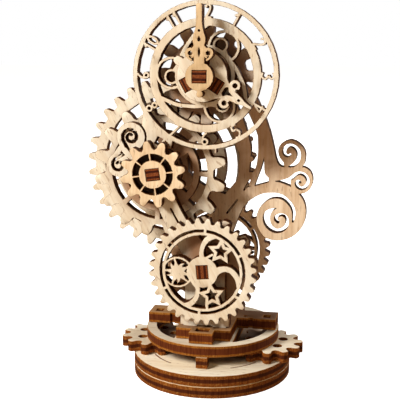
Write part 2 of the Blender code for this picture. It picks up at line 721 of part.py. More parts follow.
def crown_web():
    """The ornament inside a drive gear: a sun, two stars and sweeping arms round a hub."""
    sun = sun_shape().placed(12, (-6.3, -0.3))
    star_upper = star(3.5, 1.75, 14).placed(0, (4.7, 5.5)) - star(1.7, 0.85, 14).placed(
        0, (4.7, 5.5))
    star_lower = star(3.5, 1.75, 98).placed(0, (2.4, -5.9)) - star(1.7, 0.85, 98).placed(
        0, (2.4, -5.9))
    upper_arm = band([(0.3, 2.5, 1.8), (-0.2, 5.0, 1.1), (0.6, 7.6, 1.3), (2.4, 9.2, 1.5),
                      (4.6, 9.4, 1.0)])
    right_arm = band([(2.6, -0.4, 2.6), (4.6, 0.9, 1.6), (7.0, 0.9, 1.4), (8.9, -1.2, 1.4),
                      (9.3, -4.0, 0.9)])
    left_arm = band([(-1.9, -2.6, 1.9), (-1.1, -4.4, 1.1), (-1.6, -6.8, 1.2),
                     (-3.4, -8.6, 1.4), (-5.6, -8.9, 1.0)])
    star_foot = stroke([(0.8, 3.6), (2.6, 4.6)], 0.6, 1)
    star_stem = stroke([(1.2, -8.4), (1.3, -9.8)], 0.7, 1)
    shape = disc(CROWN_HUB) | sun | star_upper | star_lower | upper_arm | right_arm
    return shape | left_arm | star_foot | star_stem


def drive_gear_shape(mirror=1.0):
    profile = [(-0.12, 1.0), (0.12, 1.0), (0.24, 0.62), (0.33, 0.16), (0.5, 0.0),
               (0.67, 0.16), (0.76, 0.62)]
    blank = notched_wheel(CROWN_TEETH, CROWN_TIP, CROWN_ROOT, CROWN_PHASE, profile)
    slots = spoked_window(CROWN_SLOT_INNER, CROWN_SLOT_OUTER, 6, 25.7, 0.7)
    rim = blank - slots - disc(CROWN_RIM_INNER)
    web = crown_web() & disc((CROWN_RIM_INNER + CROWN_SLOT_INNER) / 2)
    return (rim | web).placed(0, mirror=mirror) - axle_hole(DRIVE_AXLE_TURN)


def front_pinion_shape():
    profile = [(-0.13, 0.93), (0.0, 1.0), (0.13, 0.93), (0.24, 0.62), (0.33, 0.18),
               (0.5, 0.0), (0.67, 0.18), (0.76, 0.62)]
    blank = notched_wheel(
        FRONT_PINION_TEETH, FRONT_PINION_TIP, FRONT_PINION_ROOT, FRONT_PINION_PHASE, profile)
    window = spoked_window(3.53, 5.2, 8, 8.4, 0.42)
    return blank - window - axle_hole(CENTRE_AXLE_TURN)


def centre_wheel_shape(phase):
    blank = meshing_gear(CENTRE_TEETH, DRIVE_TEETH, 0.95, 0.75, phase)
    root = pitch_radius(CENTRE_TEETH, DRIVE_TEETH) * (1 - 0.75 * 2 / CENTRE_TEETH)
    outer = spoked_window(root - 3.6, root - 1.55, 8, CENTRE_SPOKE_TURN, 1.3)
    inner = spoked_window(BORE + 3.4, root - 5.2, 4, CENTRE_SPOKE_TURN, 2.6)
    return blank - outer - inner - axle_hole(CENTRE_AXLE_TURN)


def twelve_wheel_shape(phase, hole):
    blank = meshing_gear(DRIVE_TEETH, CENTRE_TEETH, 0.62, 1.08, phase)
    return blank - hole


def rear_wheel_shape():
    blank = meshing_gear(REAR_TEETH, MINUTE_TEETH, 1.0, 0.62, REAR_WHEEL_PHASE, (0.6,))
    pitch = pitch_radius(REAR_TEETH, MINUTE_TEETH)
    outer = spoked_window(pitch - 6.6, pitch - 3.6, 8, REAR_SPOKE_TURN, 1.6)
    inner = spoked_window(BORE + 3.6, pitch - 9.0, 4, REAR_SPOKE_TURN, 3.2)
    return blank - outer - inner - axle_hole(CENTRE_AXLE_TURN)


def hour_slat_places():
    return [HOUR_HAND_TURN + 120 * index for index in range(3)]


def hour_fittings():
    """The bore for the minute axle and the slots for the three slats, as seen by both discs."""
    middle = SLAT_INNER + SLAT_DEPTH / 2
    slot = box(SLAT_DEPTH + 2 * FIT_GAP, SLAT_WIDTH + 2 * FIT_GAP, (middle, 0.0))
    return disc(BORE) | slot.placed(HOUR_HAND_TURN).repeated(3)


def minute_hand_shape():
    tip = MINUTE_HAND_LENGTH
    right = [(0.72, tip - 0.3), (0.72, tip - 4.6), (1.05, tip - 6.2), (1.5, tip - 7.8),
             (1.5, tip - 8.8), (1.25, tip - 9.6)]
    body = [(1.5, 7.0), (1.9, 6.4), (1.3, 5.0), (1.2, 2.0)]
    edge = [(0.4, tip)] + smooth(right, 2) + body
    blade = polygon(edge + [(-x, z) for x, z in reversed(edge)])
    curl_ring = ring(0.55, 1.3, (2.15, 5.5)) - box(0.5, 0.8, (2.2, 4.4), 20)
    hook = stroke([(2.6, 4.4), (1.9, 3.9)], 0.5, 1)
    curls = curl_ring | hook | (curl_ring | hook).placed(mirror=-1.0)
    tail = stroke([(0.0, -3.0), (0.05, -3.7)], 1.0) | disc(0.82, (0.1, -4.1))
    teardrop = disc(0.42, (0.0, tip - 8.3)) | polygon([(-0.3, tip - 8.0), (0.3, tip - 8.0),
                                                       (0.0, tip - 7.4)])
    slit = polygon([(0.0, 4.6), (0.28, 5.4), (0.25, 6.2), (0.0, 7.0), (-0.25, 6.2),
                    (-0.28, 5.4)])
    holes = disc(0.3, (0.0, tip - 6.2)) | teardrop | slit
    shape = ((blade | curls) - holes) | tail | disc(MINUTE_DISC)
    return shape - axle_hole(MINUTE_AXLE_TURN)


def hour_hand_shape():
    """The hour hand, drawn pointing along +x and then turned."""
    tip = HOUR_HAND_LENGTH
    upper = smooth([(5.2, 3.1), (6.9, 1.9), (8.4, 1.35), (tip - 3.4, 0.95), (tip - 2.2, 0.5),
                    (tip - 0.3, 0.4)], 2)
    edge = [(4.6, 3.4)] + upper + [(tip, 0.1)]
    blade = polygon(edge + [(x, -z) for x, z in reversed(edge)])
    bulb = disc(1.4, (7.9, 2.4)) - disc(0.6, (7.95, 2.45)) - box(0.9, 0.35, (9.1, 1.85), 25)
    bulbs = bulb | bulb.placed(180, (0.0, 0.0), -1.0)
    eye = polygon([(6.0, 0.0), (6.3, 0.9), (6.8, 1.25), (7.4, 0.5), (8.8, 0.0), (7.4, -0.5),
                   (6.8, -1.25), (6.3, -0.9)])
    bulb_eyes = disc(0.6, (7.95, 2.45)) | disc(0.6, (7.95, -2.45))
    dot = disc(0.32, (tip - 3.6, 0.0))
    knob = stroke([(-5.8, 0.0), (-7.1, 0.0)], 2.1) - disc(0.4, (-8.2, 0.5))
    shape = ((blade | bulbs) - bulb_eyes - dot) | knob | disc(HOUR_DISC)
    return (shape - (eye - disc(HOUR_DISC))).placed(HOUR_HAND_TURN) - hour_fittings()


def base_cog_shape(side):
    profile = [(-0.2, 0.86), (-0.1, 1.0), (0.1, 1.0), (0.2, 0.86), (0.3, 0.2), (0.42, 0.0),
               (0.58, 0.0), (0.7, 0.2)]
    blank = notched_wheel(COG_TEETH, COG_TIP, COG_ROOT, 8.0, profile)
    holes = disc(COG_HOLE, (COG_HOLE_CIRCLE, 0.0)).placed(26).repeated(5)
    return (blank - holes).placed(0, mirror=side)


def base_ring_shape():
    inner = RING_RADIUS - RING_BAND
    window = disc(inner) & box(inner, 2 * inner, (BRIDGE_HALF + inner / 2, 0.0))
    return disc(RING_RADIUS) - window - window.placed(180)


def plate_slots(front):
    """The pad's slots for the two foot tabs of a plate whose front face is at y = front."""
    tab_middle = FOOT_HALF - 0.8 - FOOT_TAB / 2
    slot = box(FOOT_TAB + 2 * FIT_GAP, PLY + 2 * FIT_GAP)
    y = front + PLY / 2
    return slot.placed(0, (tab_middle, y)) | slot.placed(0, (-tab_middle, y))


def top_pad_shape():
    body = box(2 * PAD_HALF, 2 * PAD_DEPTH)
    arms = box(2 * PAD_ARM, PAD_ARM_BACK - PAD_ARM_FRONT,
               (0.0, (PAD_ARM_FRONT + PAD_ARM_BACK) / 2))
    tooth = box(2 * PAD_TOOTH_HALF, 2 * PAD_TOOTH_DEPTH)
    notch = box(1.2, 1.2)
    notches = notch.placed(0, (10.6, PAD_ARM_FRONT)) | notch.placed(0, (-10.6, PAD_ARM_FRONT))
    key = box(3.5, 2.6)
    keys = key.placed(0, (0.0, -PAD_DEPTH - 0.4)) | key.placed(0, (0.0, PAD_DEPTH + 0.4))
    side_keys = box(2.0, 2.2, (PAD_ARM - 2.6, 1.2)) | box(2.0, 2.2, (2.6 - PAD_ARM, 1.2))
    holes = disc(0.6, (PAD_HALF + 2.0, 0.4)) | disc(0.6, (-PAD_HALF - 2.0, 0.4))
    slots = plate_slots(DIAL_FRONT) | plate_slots(REAR_PLATE_LAYER)
    return (body | arms | tooth) - notches - keys - side_keys - holes - slots


def build_base(pale, shaded):
    sheet("base_disc_lower", disc(BASE_RADIUS), (0, 0, 0), pale, upright=False)
    sheet("base_disc_upper", disc(BASE_RADIUS), (0, 0, STACK), pale, upright=False)
    for name, side in (("left_base_cog", -1.0), ("right_base_cog", 1.0)):
        at = (side * COG_OFFSET, COG_DEPTH_OFFSET, COG_LAYER)
        sheet(name, base_cog_shape(side), at, pale, upright=False)
    post_y = RING_RADIUS - RING_BAND / 2
    for name, y in (("front_post", -post_y), ("rear_post", post_y)):
        post = box(POST_WIDTH, RING_BAND)
        at = (POST_OFFSET, RING_SET_BACK + y, COG_LAYER)
        sheet(name, post, at, shaded, upright=False)
    at = (0, RING_SET_BACK, RING_LAYER)
    sheet("base_ring", base_ring_shape(), at, pale, upright=False)
    sheet("top_pad", top_pad_shape(), (0, 0, PAD_LAYER), pale, upright=False)


def build_plates(pale, shaded):
    sheet("front_plate", front_plate_shape(), (0, DIAL_FRONT, 0), pale)
    sheet("rear_plate", rear_plate_shape(), (0, REAR_PLATE_LAYER, 0), shaded)


def collar(name, axis, turn, front, back, material, parent):
    shape = disc(COLLAR_RADIUS) - axle_hole(turn)
    sheet(name, shape, (axis[0], front, axis[1]), material, back - front, parent=parent)


def build_drive(pale, shaded, peg):
    x, z = DRIVE_AXIS
    parent = axis_empty("drive_axis", DRIVE_AXIS)
    turn = DRIVE_AXLE_TURN
    sheet("front_drive_gear", drive_gear_shape(), (x, HAND_LAYER, z), pale, parent=parent)
    phase = phase_of_mate(CENTRE_WHEEL_PHASE, CENTRE_TEETH, DRIVE_TEETH, -GEAR_LEAN)
    wheel = twelve_wheel_shape(phase, axle_hole(turn))
    sheet("drive_wheel", wheel, (x, WHEEL_LAYER, z), pale, parent=parent)
    collar("drive_collar", DRIVE_AXIS, turn, WHEEL_LAYER + PLY + BORE_GAP,
           REAR_PLATE_LAYER - BORE_GAP, shaded, parent)
    collar("rear_drive_collar", DRIVE_AXIS, turn, REAR_PLATE_LAYER + PLY + BORE_GAP,
           REAR_DRIVE_LAYER - BORE_GAP, shaded, parent)
    rear_gear = drive_gear_shape(-1.0)
    sheet("rear_drive_gear", rear_gear, (x, REAR_DRIVE_LAYER, z), shaded, parent=parent)
    axle("drive_axle", DRIVE_AXIS, HAND_LAYER, REAR_DRIVE_LAYER + PLY, turn, peg, parent)


def build_centre(pale, shaded, peg):
    x, z = CENTRE_AXIS
    parent = axis_empty("centre_axis", CENTRE_AXIS)
    sheet("front_pinion", front_pinion_shape(), (x, HAND_LAYER, z), pale, parent=parent)
    wheel = centre_wheel_shape(CENTRE_WHEEL_PHASE)
    sheet("centre_wheel", wheel, (x, WHEEL_LAYER, z), pale, parent=parent)
    collar("centre_collar", CENTRE_AXIS, CENTRE_AXLE_TURN, WHEEL_LAYER + PLY + BORE_GAP,
           REAR_PLATE_LAYER - BORE_GAP, shaded, parent)
    sheet("rear_wheel", rear_wheel_shape(), (x, REAR_WHEEL_LAYER, z), pale, parent=parent)
    axle("centre_axle", CENTRE_AXIS, HAND_LAYER, REAR_WHEEL_LAYER + PLY + AXLE_END,
         CENTRE_AXLE_TURN, peg, parent)


def build_hour(pale, peg):
    x, z = HAND_AXIS
    parent = axis_empty("hour_axis", HAND_AXIS)
    sheet("hour_hand", hour_hand_shape(), (x, HAND_LAYER, z), pale, parent=parent)
    phase = phase_of_mate(CENTRE_WHEEL_PHASE, CENTRE_TEETH, HOUR_TEETH, GEAR_LEAN)
    wheel = twelve_wheel_shape(phase, hour_fittings())
    sheet("hour_wheel", wheel, (x, WHEEL_LAYER, z), pale, parent=parent)
    front, back = HAND_LAYER, WHEEL_LAYER + PLY
    size = (SLAT_DEPTH, back - front, SLAT_WIDTH)
    for index, turn in enumerate(hour_slat_places(), 1):
        sx, sz = polar(SLAT_INNER + SLAT_DEPTH / 2, turn, HAND_AXIS)
        bar(f"hour_slat_{index}", size, (sx, (front + back) / 2, sz), turn, peg, parent)


def build_minute(pale, shaded, peg):
    x, z = HAND_AXIS
    parent = axis_empty("minute_axis", HAND_AXIS)
    turn = MINUTE_AXLE_TURN
    sheet("minute_hand", minute_hand_shape(), (x, MINUTE_LAYER, z), pale, parent=parent)
    collar("minute_collar", HAND_AXIS, turn, WHEEL_LAYER + PLY + BORE_GAP,
           REAR_PLATE_LAYER - BORE_GAP, shaded, parent)
    phase = phase_of_mate(REAR_WHEEL_PHASE, REAR_TEETH, MINUTE_TEETH, GEAR_LEAN)
    pinion = meshing_gear(MINUTE_TEETH, REAR_TEETH, 0.4, 1.3, phase) - axle_hole(turn)
    sheet("minute_pinion", pinion, (x, REAR_WHEEL_LAYER, z), pale, parent=parent)
    axle("minute_axle", HAND_AXIS, MINUTE_LAYER, REAR_WHEEL_LAYER + PLY + AXLE_END, turn,
         peg, parent)


for leftover in list(bpy.data.objects):
    bpy.data.objects.remove(leftover)
collection = bpy.data.collections.new(OBJECT_NAME)
bpy.context.scene.collection.children.link(collection)

pale_ply = shade("pale_ply", PALE_PLY)
shaded_ply = shade("shaded_ply", SHADED_PLY)
peg_wood = shade("peg_wood", PEG_BROWN)

build_base(pale_ply, shaded_ply)
build_plates(pale_ply, shaded_ply)
build_drive(pale_ply, shaded_ply, peg_wood)
build_centre(pale_ply, shaded_ply, peg_wood)
build_hour(pale_ply, peg_wood)
build_minute(pale_ply, shaded_ply, peg_wood)
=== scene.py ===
# %% [markdown]
# # A wooden mechanical clock
#
# This small clock is a stack of plywood sheets, cut by laser. Three axles carry wheels between
# two plates, a dial is part of the front plate, and everything stands on a round base.
#
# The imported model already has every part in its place, in metres, so this lesson adds what a
# plain solid lacks: the scorched chamfer that a laser leaves, the stripes of the plies on each
# cut edge, and birch with its grain.

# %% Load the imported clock
import json
import math

import bmesh
import bpy
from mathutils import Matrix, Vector
from mathutils.geometry import delaunay_2d_cdt


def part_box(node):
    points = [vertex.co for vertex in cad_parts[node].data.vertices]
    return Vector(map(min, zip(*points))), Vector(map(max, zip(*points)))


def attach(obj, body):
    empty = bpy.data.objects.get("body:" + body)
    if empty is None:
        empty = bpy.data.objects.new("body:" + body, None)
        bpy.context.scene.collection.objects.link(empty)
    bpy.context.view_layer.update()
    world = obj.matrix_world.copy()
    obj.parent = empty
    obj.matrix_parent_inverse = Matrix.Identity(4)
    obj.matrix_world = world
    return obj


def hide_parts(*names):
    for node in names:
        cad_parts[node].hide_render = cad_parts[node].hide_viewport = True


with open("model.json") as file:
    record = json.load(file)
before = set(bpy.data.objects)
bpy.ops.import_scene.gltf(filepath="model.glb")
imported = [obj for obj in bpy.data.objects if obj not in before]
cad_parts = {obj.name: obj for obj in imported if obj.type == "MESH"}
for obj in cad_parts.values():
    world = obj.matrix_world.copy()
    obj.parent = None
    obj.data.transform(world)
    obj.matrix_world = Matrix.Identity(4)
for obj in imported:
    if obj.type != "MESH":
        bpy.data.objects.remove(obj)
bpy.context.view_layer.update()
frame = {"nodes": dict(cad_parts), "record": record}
MM = 0.001
nodes = frame["nodes"]
bodies = frame["record"]["behaviour"]["bodies"]
body_of_node = {node: body for body, members in bodies.items() for node in members}

# %% [markdown]
# ## The camera
#
# The camera stands a little to the right of the dial and a little above it, about 21 cm away. It
# could be placed by eye, but a few millimetres already show in a stack of open wheels. So its
# place came from fitting the round base, the dial and the three axles of the model to where they
# are in the photograph. A long lens keeps the rings nearly round.

# %% Place the camera
PHOTO_SIDE = 400
FOCAL_PIXELS = 834.0
OPTICAL_CENTRE = (206.5, 193.1)
SENSOR_WIDTH = 36.0
CAMERA_PLACE = (0.0411, -0.2102, 0.0863)
CAMERA_TARGET = (-0.00152, 0.0, 0.04772)


def stand_and_face(thing, place, target):
    """Stands a camera or a lamp at a place, and points it at a target."""
    thing.location = place
    thing.rotation_mode = "QUATERNION"
    thing.rotation_quaternion = (Vector(target) - Vector(place)).to_track_quat("-Z", "Y")


lens = bpy.data.cameras.new("photo_camera")
lens.sensor_width = SENSOR_WIDTH
lens.lens = FOCAL_PIXELS / PHOTO_SIDE * SENSOR_WIDTH
lens.shift_x = 0.5 - OPTICAL_CENTRE[0] / PHOTO_SIDE
lens.shift_y = OPTICAL_CENTRE[1] / PHOTO_SIDE - 0.5
lens.clip_start = 0.01
lens.clip_end = 20.0
camera = bpy.data.objects.new("photo_camera", lens)
bpy.context.scene.collection.objects.link(camera)
stand_and_face(camera, CAMERA_PLACE, CAMERA_TARGET)
bpy.context.scene.camera = camera
print("lens", round(lens.lens, 1), "mm, shift", round(lens.shift_x, 4), round(lens.shift_y, 4))

# %% [markdown]
# ## The studio
#
# The photograph has a white ground, and its light comes from the upper left: the shadow of each
# sheet falls to the right and down on the sheet behind it. The space between the plates is dark,
# so little light comes from elsewhere, and what does is warm from all the wood around it.
#
# A bright world would give the white ground, but it would also fill the dark space between the
# plates. So the camera sees a white floor, like a table lit from below, and white air behind
# it, while to the clock both are a dim warm room. A light path node tells the two uses apart.

# %% A helper for what the camera sees and what the clock gets


def seen_or_lit(tree, output, lit, seen):
    """Shows the camera one shader, and lights the clock with another."""
    light_path = tree.nodes.new("ShaderNodeLightPath")
    choice = tree.nodes.new("ShaderNodeMixShader")
    tree.links.new(light_path.outputs["Is Camera Ray"], choice.inputs["Fac"])
    tree.links.new(lit.outputs[0], choice.inputs[1])
    tree.links.new(seen.outputs[0], choice.inputs[2])
    tree.links.new(choice.outputs[0], output.inputs["Surface"])


# %% Lay the floor
FLOOR_SIZE = 6.0
FLOOR_DROP = 0.1 * MM
FLOOR_PAINT = (0.93, 0.93, 0.93, 1.0)
FLOOR_GLOW = 0.94
WHITE = (1.0, 1.0, 1.0, 1.0)
WARM_BOUNCE = (0.50, 0.36, 0.24, 1.0)

bpy.ops.object.select_all(action="DESELECT")
bpy.ops.mesh.primitive_plane_add(size=FLOOR_SIZE, location=(0, 0, -FLOOR_DROP))
floor = bpy.context.object
floor.name = "studio_floor"
floor_paint = bpy.data.materials.new("floor_paint")
floor_paint.use_nodes = True
floor_nodes = floor_paint.node_tree.nodes
paint = floor_nodes["Principled BSDF"]
paint.inputs["Base Color"].default_value = FLOOR_PAINT
paint.inputs["Roughness"].default_value = 0.9
paint.inputs["Specular IOR Level"].default_value = 0.1
paint.inputs["Emission Color"].default_value = WHITE
paint.inputs["Emission Strength"].default_value = FLOOR_GLOW
bounce = floor_nodes.new("ShaderNodeBsdfDiffuse")
bounce.inputs["Color"].default_value = WARM_BOUNCE
seen_or_lit(floor_paint.node_tree, floor_nodes["Material Output"], lit=bounce, seen=paint)
floor.data.materials.append(floor_paint)
print("floor:", FLOOR_SIZE, "m square")

# %% [markdown]
# ### The lights
#
# One lamp would leave the back of the clock dark, so four soft boxes share the work. The strong
# one at the upper left is small, and the shadows that it casts have clear edges. The one overhead
# lights the tops of the base, a weak one in front opens the shadows, and the one behind the clock
# lights its back and no sheet's front face. A plain view transform keeps the white ground white.

# %% Hang the lights
CLOCK_MIDDLE = (0.0, 0.0, 0.05)
# The place of each, its width, its watts and its colour.
SOFTBOXES = {
    "left_softbox": ((-0.44, -0.54, 0.44), 0.22, 7.0, (1.0, 0.98, 0.95)),
    "front_fill": ((0.10, -0.70, 0.14), 0.50, 0.25, (1.0, 0.90, 0.80)),
    "overhead_softbox": ((-0.10, 0.05, 0.90), 0.80, 2.2, (1.0, 0.97, 0.93)),
    "back_softbox": ((0.46, 0.52, 0.36), 0.40, 3.4, (1.0, 0.97, 0.92)),
}

for name, (place, width, watts, colour) in SOFTBOXES.items():
    panel = bpy.data.lights.new(name, "AREA")
    panel.shape = "SQUARE"
    panel.size = width
    panel.energy = watts
    panel.color = colour
    lamp = bpy.data.objects.new(name, panel)
    bpy.context.scene.collection.objects.link(lamp)
    stand_and_face(lamp, place, CLOCK_MIDDLE)
    print(name, watts, "W")
bpy.context.scene.view_settings.view_transform = "Standard"

# %% Fill the studio with air
ROOM_LIGHT = 0.10
ROOM_COLOUR = (1.0, 0.70, 0.46, 1.0)

world = bpy.data.worlds.new("studio_air")
bpy.context.scene.world = world
world.use_nodes = True
room = world.node_tree.nodes["Background"]
room.inputs["Color"].default_value = ROOM_COLOUR
room.inputs["Strength"].default_value = ROOM_LIGHT
white_air = world.node_tree.nodes.new("ShaderNodeBackground")
white_air.inputs["Color"].default_value = WHITE
seen_or_lit(world.node_tree, world.node_tree.nodes["World Output"], lit=room, seen=white_air)
print("room:", ROOM_LIGHT, "on the clock, 1.0 to the camera")

# %% [markdown]
# ## Shared shader groups
#
# Every sheet shows two finishes. Its faces are bare birch veneer, and its cut edges are burnt.
# Each could be wired again in every material, but a change would then have to be made in all of
# them. So each is built once as a node group with named sockets, and a pale sheet, a honey one
# and a brown one differ only in the values they give it. A group puts out a colour, a roughness
# and a height, and the shader itself stays in each material.

# %% Helpers for wiring nodes


def new_group(name, inputs, outputs):
    """A shader group with (kind, name, default) sockets, and its two end nodes."""
    group = bpy.data.node_groups.new(name, "ShaderNodeTree")
    for kind, label, value in inputs:
        socket = group.interface.new_socket(label, in_out="INPUT", socket_type=kind)
        if value is not None:
            socket.default_value = value
    for kind, label in outputs:
        group.interface.new_socket(label, in_out="OUTPUT", socket_type=kind)
    return group, group.nodes.new("NodeGroupInput"), group.nodes.new("NodeGroupOutput")


def wire(tree, value, socket):
    """Links an output to a socket, or sets the socket to a plain value."""
    if isinstance(value, bpy.types.NodeSocket):
        tree.links.new(value, socket)
    else:
        socket.default_value = value


def math_node(tree, operation, *values, clamp=False):
    node = tree.nodes.new("ShaderNodeMath")
    node.operation = operation
    node.use_clamp = clamp
    for value, socket in zip(values, node.inputs):
        wire(tree, value, socket)
    return node.outputs[0]


def vector_node(tree, operation, *values):
    """Vector maths. A length or a dot product comes out as a number, the others as a vector."""
    node = tree.nodes.new("ShaderNodeVectorMath")
    node.operation = operation
    for value, socket in zip(values, node.inputs):
        wire(tree, value, socket)
    return node.outputs["Value" if operation in ("LENGTH", "DOT_PRODUCT") else "Vector"]


def blend_colour(tree, share, first, second, mode="MIX"):
    node = tree.nodes.new("ShaderNodeMix")
    node.data_type = "RGBA"
    node.blend_type = mode
    wire(tree, share, node.inputs["Factor"])
    wire(tree, first, node.inputs["A"])
    wire(tree, second, node.inputs["B"])
    return node.outputs["Result"]


def stretched_noise(tree, vector, per_metre, detail, roughness=0.5):
    """Noise with a given number of cycles per metre along each axis."""
    mapping = tree.nodes.new("ShaderNodeMapping")
    mapping.inputs["Scale"].default_value = per_metre
    wire(tree, vector, mapping.inputs["Vector"])
    noise = tree.nodes.new("ShaderNodeTexNoise")
    noise.inputs["Scale"].default_value = 1.0
    noise.inputs["Detail"].default_value = detail
    noise.inputs["Roughness"].default_value = roughness
    tree.links.new(mapping.outputs["Vector"], noise.inputs["Vector"])
    return noise.outputs["Fac"]


def ramp_between(tree, value, low, high):
    """0 below low, 1 above high, and smooth in between."""
    node = tree.nodes.new("ShaderNodeMapRange")
    node.interpolation_type = "SMOOTHSTEP"
    wire(tree, value, node.inputs["Value"])
    node.inputs["From Min"].default_value = low
    node.inputs["From Max"].default_value = high
    return node.outputs["Result"]


# %% [markdown]
# ### Birch veneer
#
# Rotary-cut birch is pale and quiet. It has long soft bands, fine fibres along the grain, and
# short darker flecks. A wave texture would draw rings like those of pine, so three noises do it
# instead, stretched along the group's own Z. A material turns its grain by turning the vector
# that it hands in.

# %% Build the birch group
BANDS_PER_METRE = (170.0, 170.0, 22.0)
FIBRES_PER_METRE = (1500.0, 1500.0, 95.0)
FLECKS_PER_METRE = (1900.0, 1900.0, 420.0)
BAND_RANGE = (0.35, 0.68)
FIBRE_RANGE = (0.38, 0.70)
FLECK_RANGE = (0.61, 0.72)
BAND_SHARE = 0.55
FIBRE_SHARE = 0.45
FLECK_SHARE = 0.50
SMOOTHEST_FACE = 0.50
FIBRE_ROUGHNESS = 0.16

birch, birch_in, birch_out = new_group(
    "birch_veneer",
    [("NodeSocketVector", "Vector", None),
     ("NodeSocketColor", "Early Wood", (0.85, 0.70, 0.48, 1.0)),
     ("NodeSocketColor", "Late Wood", (0.68, 0.48, 0.27, 1.0)),
     ("NodeSocketColor", "Fleck", (0.34, 0.19, 0.09, 1.0)),
     ("NodeSocketFloat", "Figure", 1.0)],
    [("NodeSocketColor", "Color"), ("NodeSocketFloat", "Roughness"),
     ("NodeSocketFloat", "Height")])
along = birch_in.outputs["Vector"]
bands = stretched_noise(birch, along, BANDS_PER_METRE, 3.0, 0.55)
fibres = stretched_noise(birch, along, FIBRES_PER_METRE, 4.0, 0.6)
flecks = stretched_noise(birch, along, FLECKS_PER_METRE, 2.0)
dark_bands = ramp_between(birch, bands, *BAND_RANGE)
dark_bands = math_node(birch, "MULTIPLY", dark_bands, BAND_SHARE)
dark_fibres = ramp_between(birch, fibres, *FIBRE_RANGE)
dark_fibres = math_node(birch, "MULTIPLY", dark_fibres, FIBRE_SHARE)
figure = math_node(birch, "ADD", dark_bands, dark_fibres)
figure = math_node(birch, "MULTIPLY", figure, birch_in.outputs["Figure"], clamp=True)
wood = blend_colour(birch, figure, birch_in.outputs["Early Wood"],
                    birch_in.outputs["Late Wood"])
fleck = ramp_between(birch, flecks, *FLECK_RANGE)
fleck = math_node(birch, "MULTIPLY", fleck, FLECK_SHARE)
wood = blend_colour(birch, fleck, wood, birch_in.outputs["Fleck"])
dullness = math_node(birch, "MULTIPLY_ADD", fibres, FIBRE_ROUGHNESS, SMOOTHEST_FACE)
birch.links.new(wood, birch_out.inputs["Color"])
birch.links.new(dullness, birch_out.inputs["Roughness"])
birch.links.new(math_node(birch, "SUBTRACT", fibres, fleck), birch_out.inputs["Height"])
print("birch_veneer:", len(birch.nodes), "nodes")

# %% [markdown]
# ### The burnt edge
#
# The sheet is three plies thick. Its outer veneers burn to orange brown and its core, whose
# grain runs the other way, burns nearly black. The chamfer at each face is scorched as well.
#
# Stripes along one axis would run askew on the strips, which are turned. So each piece carries
# an attribute named through, which runs from -1 at one face to 1 at the other, and the stripes
# follow the sheet wherever its edge goes. The laser also leaves fine lines from face to face: a
# noise that hardly changes through the sheet gives them, because the material squeezes the
# vector along that direction before it hands it in as Lines. Specks of the outer plies that
# burned less are as golden as the chamfer.

# %% Build the burnt edge group
WAVER_PER_METRE = (420.0, 420.0, 420.0)
LINES_PER_METRE = (3200.0, 3200.0, 3200.0)
SPECKS_PER_METRE = (1900.0, 1900.0, 3200.0)
# A full half would give exactly 1 on the last face, where FRACT starts again at 0.
JUST_UNDER_HALF = 0.4999
CORE_WAVER = 0.10
CORE_BLUR = 0.04
SPECK_RANGE = (0.54, 0.66)
SPECK_SHARE = 0.70
LINE_RANGE = (0.40, 0.66)
LINE_SHARE = 0.85
LINE_COLOUR = (0.58, 0.48, 0.40, 1.0)
CHAMFER_RANGE = (0.455, 0.49)
SMOOTHEST_EDGE = 0.42
CHAR_ROUGHNESS = 0.25

edge, edge_in, edge_out = new_group(
    "burnt_edge",
    [("NodeSocketVector", "Vector", None),
     ("NodeSocketVector", "Lines", None),
     ("NodeSocketFloat", "Through", 0.0),
     ("NodeSocketFloat", "Sheets", 1.0),
     ("NodeSocketFloat", "Core Width", 0.19),
     ("NodeSocketColor", "Veneer", (0.50, 0.20, 0.05, 1.0)),
     ("NodeSocketColor", "Core", (0.10, 0.03, 0.015, 1.0)),
     ("NodeSocketColor", "Corner", (0.36, 0.17, 0.06, 1.0))],
    [("NodeSocketColor", "Color"), ("NodeSocketFloat", "Roughness"),
     ("NodeSocketFloat", "Height")])
depth = math_node(edge, "MULTIPLY_ADD", edge_in.outputs["Through"], JUST_UNDER_HALF, 0.5)
depth = math_node(edge, "FRACT", math_node(edge, "MULTIPLY", depth, edge_in.outputs["Sheets"]))
off_centre = math_node(edge, "ABSOLUTE", math_node(edge, "SUBTRACT", depth, 0.5))
waver = stretched_noise(edge, edge_in.outputs["Vector"], WAVER_PER_METRE, 3.0)
lines = stretched_noise(edge, edge_in.outputs["Lines"], LINES_PER_METRE, 2.0)
specks = stretched_noise(edge, edge_in.outputs["Vector"], SPECKS_PER_METRE, 1.0)
sway = math_node(edge, "MULTIPLY", math_node(edge, "SUBTRACT", waver, 0.5), CORE_WAVER)
past_core = math_node(edge, "SUBTRACT", math_node(edge, "ADD", off_centre, sway),
                      edge_in.outputs["Core Width"])
outside_core = ramp_between(edge, past_core, -CORE_BLUR, CORE_BLUR)
toasted = ramp_between(edge, specks, *SPECK_RANGE)
toasted = math_node(edge, "MULTIPLY", toasted, SPECK_SHARE)
outer_ply = blend_colour(edge, toasted, edge_in.outputs["Veneer"], edge_in.outputs["Corner"])
burn = blend_colour(edge, outside_core, edge_in.outputs["Core"], outer_ply)
seared = ramp_between(edge, lines, *LINE_RANGE)
seared = math_node(edge, "MULTIPLY", seared, LINE_SHARE)
burn = blend_colour(edge, seared, burn, LINE_COLOUR, "MULTIPLY")
at_face = ramp_between(edge, off_centre, *CHAMFER_RANGE)
burn = blend_colour(edge, at_face, burn, edge_in.outputs["Corner"])
charring = math_node(edge, "MULTIPLY_ADD", waver, CHAR_ROUGHNESS, SMOOTHEST_EDGE)
edge.links.new(burn, edge_out.inputs["Color"])
edge.links.new(charring, edge_out.inputs["Roughness"])
edge.links.new(lines, edge_out.inputs["Height"])
print("burnt_edge:", len(edge.nodes), "nodes")

